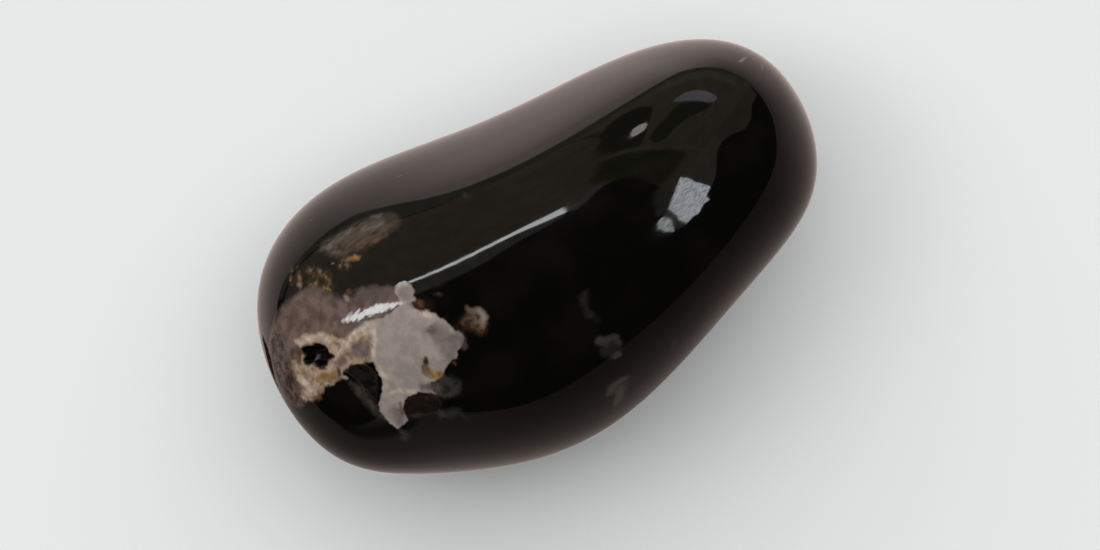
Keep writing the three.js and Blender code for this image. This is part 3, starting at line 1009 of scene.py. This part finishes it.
# %% Strip light and its soft edge
card("strip_light", 5, (7.6, 8.0, 8.2),
     [(144.8, 24.8), (141.2, 28.4), (133.4, 34.8), (123.3, 40.3), (110.6, 44.2), (97, 45.9), (84.6, 45.4),
      (74.7, 43.8), (67.6, 41.9), (62.7, 40.6), (59.2, 39.7), (57.9, 39.3)],
     [(145.8, 24.8), (141.4, 29.8), (135.7, 34.7), (126.1, 40.7), (113.8, 45.4), (99.3, 47.6),
      (85.7, 47.4), (74.9, 45.9), (66.9, 44.3), (61, 43.4), (57, 42.8), (55, 42.7)])
card("strip_end", 5, (11.2, 11.8, 12.0),
     [(162.2, 10.7), (162.5, 11.7), (161.7, 12.9), (160.7, 15.4), (158.4, 20.7), (155.4, 26.8)],
     [(161.4, 10.7), (159.5, 12.2), (158.2, 14.1), (155.8, 18.6), (154, 27.4)])
card("soft_edge", 3, (0.25, 0.245, 0.245),
     [(141.2, 30.5), (135.7, 35.7), (126.1, 41.9), (113.8, 46.5), (99.3, 48.6), (85.7, 48.3),
      (74.9, 46.8), (66.9, 45.2), (61, 44.2), (57, 43.6), (54.7, 43.1)],
     [(150, 33), (139.8, 44.5), (128, 51), (113, 54.2), (98, 55.2), (84, 55.2), (74.5, 53.2), (65, 50),
      (58.8, 47.8), (55, 45.2), (53.6, 43.8)], fade=(0.02, 0.5))
card("soft_edge_end", 4, (0.3, 0.295, 0.295),
     [(56.6, 41.4), (56.2, 40.2), (55.9, 38.6), (57.6, 35.4)],
     [(51.3, 45.4), (52.4, 42), (53.8, 39.2), (56, 35.8)], fade=(0.15, 0.3))

# %% Windows
card("window", 5, (6.1, 6.45, 6.85),
     [(17.3, 46.1), (8, 44.2), (2.1, 43), (-5, 39.6), (-11.3, 35.6), (-15.6, 37), (-19.6, 34.3),
      (-20, 37), (-24.7, 37.6), (-24.6, 40), (-27.2, 41.5)],
     [(17.3, 46.1), (12, 48.5), (5.9, 50.4), (2, 51.2), (-2.2, 51.8), (-7, 50.8), (-12, 49.4),
      (-16, 47.9), (-20.4, 46.4), (-24, 44), (-27.2, 41.5)], blotch=1.2, dimmest=0.52)
card("window_bar", 4, (0.27, 0.21, 0.2),
     [(-2.2, 51.8), (-12, 49.4), (-20.4, 46.4), (-27.2, 41.5)],
     [(-5.1, 53), (-13, 50.6), (-23.1, 47.6), (-28, 44.2)])
card("small_window", 5, (4.9, 5.2, 5.3),
     [(-6.5, 53), (-12, 51), (-17.5, 49.2), (-23.1, 47.4), (-27.9, 45.3)],
     [(-7.4, 53.5), (-10.3, 53.7), (-16.6, 52.6), (-23.7, 49.3), (-27.9, 45.6)], blotch=1.3, dimmest=0.45)
card("window_side", 3, (0.19, 0.188, 0.176),
     [(17.9, 46.9), (8.2, 49.8), (0.2, 51.6), (-2.7, 52.8)],
     [(30, 50.5), (18, 54), (4, 55), (-5, 54.4)], fade=(0.1, 0.3))
print("ball's radius in mm:", BALL_RADIUS / MM)

# %% [markdown]
# ## Light on the stone
# A very broad soft light from high above the waisted side gives the stone its wide soft shadow, a
# weak firmer one over the broad end deepens it close to the stone, and a pale even sky fills it.
# None of them may show in the polish, so the lamps are kept out of reflections, and the sky is
# pale for matt surfaces and nearly dark for mirrors.


# %% Lamps and sky
def soft_sun(name, bearing, height, spread, brightness):
    """A sun lamp, with its bearing, height and spread in degrees. A level white floor that faces
    it alone gets the brightness that is given."""
    data = bpy.data.lights.new(name, "SUN")
    data.energy = brightness * math.pi / math.sin(math.radians(height))
    data.angle = math.radians(spread)
    lamp = in_scene(name, data)
    lamp.rotation_euler = (math.radians(90 - height), 0, math.radians(bearing + 90))
    lamp.visible_glossy = False


soft_sun("broad_light", bearing=68, height=62, spread=114, brightness=0.8)
soft_sun("side_light", bearing=150, height=50, spread=24, brightness=0.08)

world = bpy.data.worlds.new("pale_room")
bpy.context.scene.world = world
world.use_nodes = True
sky_tree = world.node_tree
sky_tree.nodes.clear()
ray = node(sky_tree, "LightPath")


def sky(colour_of, strength):
    """One even background."""
    return node(sky_tree, "Background", colour_of, strength).outputs["Background"]


def choose(kind_of_ray, otherwise, chosen):
    """One background for a kind of ray, and another for the rest."""
    return node(sky_tree, "MixShader", ray.outputs[kind_of_ray], otherwise, chosen).outputs[0]


fill = sky((0.99, 1.0, 1.0, 1), 0.12)
dark_room = sky((1, 1, 1, 1), ROOM_DARK)
backdrop = sky((0.8, 0.82, 0.81, 1), 1.0)
unseen_sky = choose("Is Glossy Ray", fill, dark_room)
node(sky_tree, "OutputWorld", choose("Is Camera Ray", unseen_sky, backdrop))
bpy.context.scene.view_settings.view_transform = "Standard"

# %% [markdown]
# ## The camera
# The stone is seen from almost straight above, turned so that its narrow end points to the upper
# right. A long lens from 400 mm away keeps the shape free of distortion.

# %% Camera
VIEW_TURN = math.radians(30.1)
VIEW_HEIGHT = math.radians(85)
VIEW_DISTANCE = 0.4
FRAME_WIDTH = 0.0826
SENSOR = 36.0
right = np.array([math.cos(VIEW_TURN), -math.sin(VIEW_TURN), 0])
level = np.array([math.sin(VIEW_TURN), math.cos(VIEW_TURN), 0])
up = level * math.sin(VIEW_HEIGHT) + np.array([0, 0, math.cos(VIEW_HEIGHT)])
back = np.cross(right, up)
aim = np.array([0, 0, 0.011]) + 0.00012 * right - 0.00121 * up

camera_data = bpy.data.cameras.new("camera")
camera_data.sensor_width = SENSOR
camera_data.lens = SENSOR * VIEW_DISTANCE / FRAME_WIDTH
camera = in_scene("camera", camera_data)
placing = np.identity(4)
placing[:3, :] = np.stack([right, up, back, aim + VIEW_DISTANCE * back], axis=-1)
camera.matrix_world = Matrix(placing.tolist())
bpy.context.scene.camera = camera
print("lens in mm:", round(camera_data.lens, 1))
